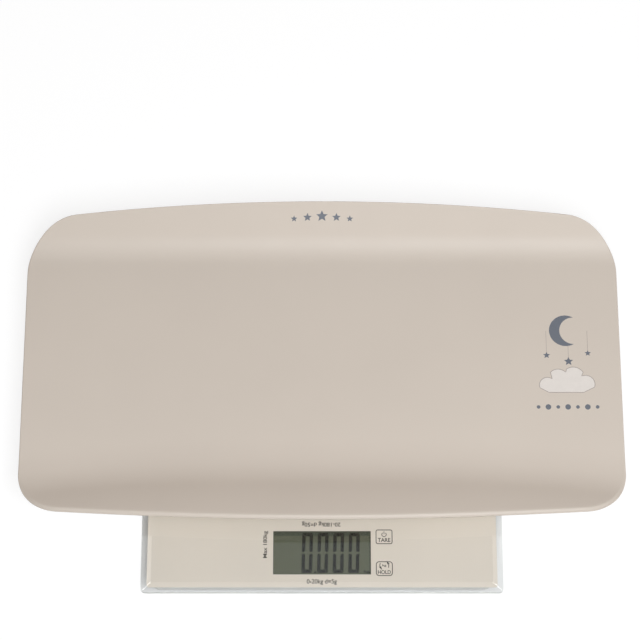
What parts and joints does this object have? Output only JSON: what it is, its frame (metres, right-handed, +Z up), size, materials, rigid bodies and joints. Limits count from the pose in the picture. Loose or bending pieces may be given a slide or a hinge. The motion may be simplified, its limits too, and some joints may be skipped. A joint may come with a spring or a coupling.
{
  "type": "baby weighing scale",
  "caption": "Baby scale with a lift-off trough tray on a square glass platform, with a flush display, touch keys and load-cell feet.",
  "frame": {"origin": "centre of the bounding box's bottom, on the surface that the feet stand on", "axes": "+X along the tray to the right as the display is read, +Y to the back, +Z up"},
  "size_m": [0.55, 0.362, 0.0667],
  "materials": {
    "tray_plastic": "satin moulded plastic, warm beige",
    "clear_glass": "tempered glass with polished edges",
    "beige_print": "beige ink on the back of the glass",
    "tape": "white bonding tape",
    "housing_plastic": "light grey moulded plastic, fine texture",
    "steel": "plain steel",
    "circuit_board": "green solder mask",
    "black_plastic": "black moulded plastic",
    "display_glass": "olive grey reflective display",
    "foam": "black closed-cell foam",
    "elastomer": "layered pink elastomer",
    "white_coating": "white silicone coating",
    "battery_jacket": "plain printed jacket",
    "nickel": "nickel-plated spring steel",
    "lead_red": "insulated wire",
    "lead_grey": "insulated wire",
    "foot_rubber": "grey rubber",
    "pad_silicone": "translucent grey silicone"
  },
  "bodies": {
    "platform": {"glass_platform": "clear_glass", "back_print": "beige_print", "bonding_tape": "tape", "lower_housing": "housing_plastic", "housing_screws": "steel", "main_board": "circuit_board", "board_components": "black_plastic", "board_screws": "steel", "lcd_cell": "display_glass", "lcd_bezel": "black_plastic", "lcd_gasket": "foam", "zebra_strips": "elastomer", "touch_electrodes": "foam", "gauge_coats": "white_coating", "batteries": "battery_jacket", "battery_contacts": "nickel", "battery_leads": "lead_red", "foot_pad_front_left": "foot_rubber", "foot_cap_front_left": "housing_plastic", "load_cell_front_left": "steel", "cell_holder_front_left": "housing_plastic", "cell_lead_front_left": "lead_grey", "foot_pad_front_right": "foot_rubber", "foot_cap_front_right": "housing_plastic", "load_cell_front_right": "steel", "cell_holder_front_right": "housing_plastic", "cell_lead_front_right": "lead_grey", "foot_pad_rear_left": "foot_rubber", "foot_cap_rear_left": "housing_plastic", "load_cell_rear_left": "steel", "cell_holder_rear_left": "housing_plastic", "cell_lead_rear_left": "lead_grey", "foot_pad_rear_right": "foot_rubber", "foot_cap_rear_right": "housing_plastic", "load_cell_rear_right": "steel", "cell_holder_rear_right": "housing_plastic", "cell_lead_rear_right": "lead_grey"},
    "tray": {"tray_shell": "tray_plastic", "tray_cradle": "tray_plastic", "tray_pad_front_left": "pad_silicone", "tray_pad_front_right": "pad_silicone", "tray_pad_rear_left": "pad_silicone", "tray_pad_rear_right": "pad_silicone"},
    "battery_door": {"battery_lid": "housing_plastic"}
  },
  "joints": [
    {"name": "tray_lift", "type": "slide", "parent": "platform", "child": "tray", "axis": [0, 0, 1], "range_m": [0, 0.08]},
    {"name": "battery_lid_slide", "type": "slide", "parent": "platform", "child": "battery_door", "axis": [0, 1, 0], "range_m": [0, 0.036]}
  ]
}
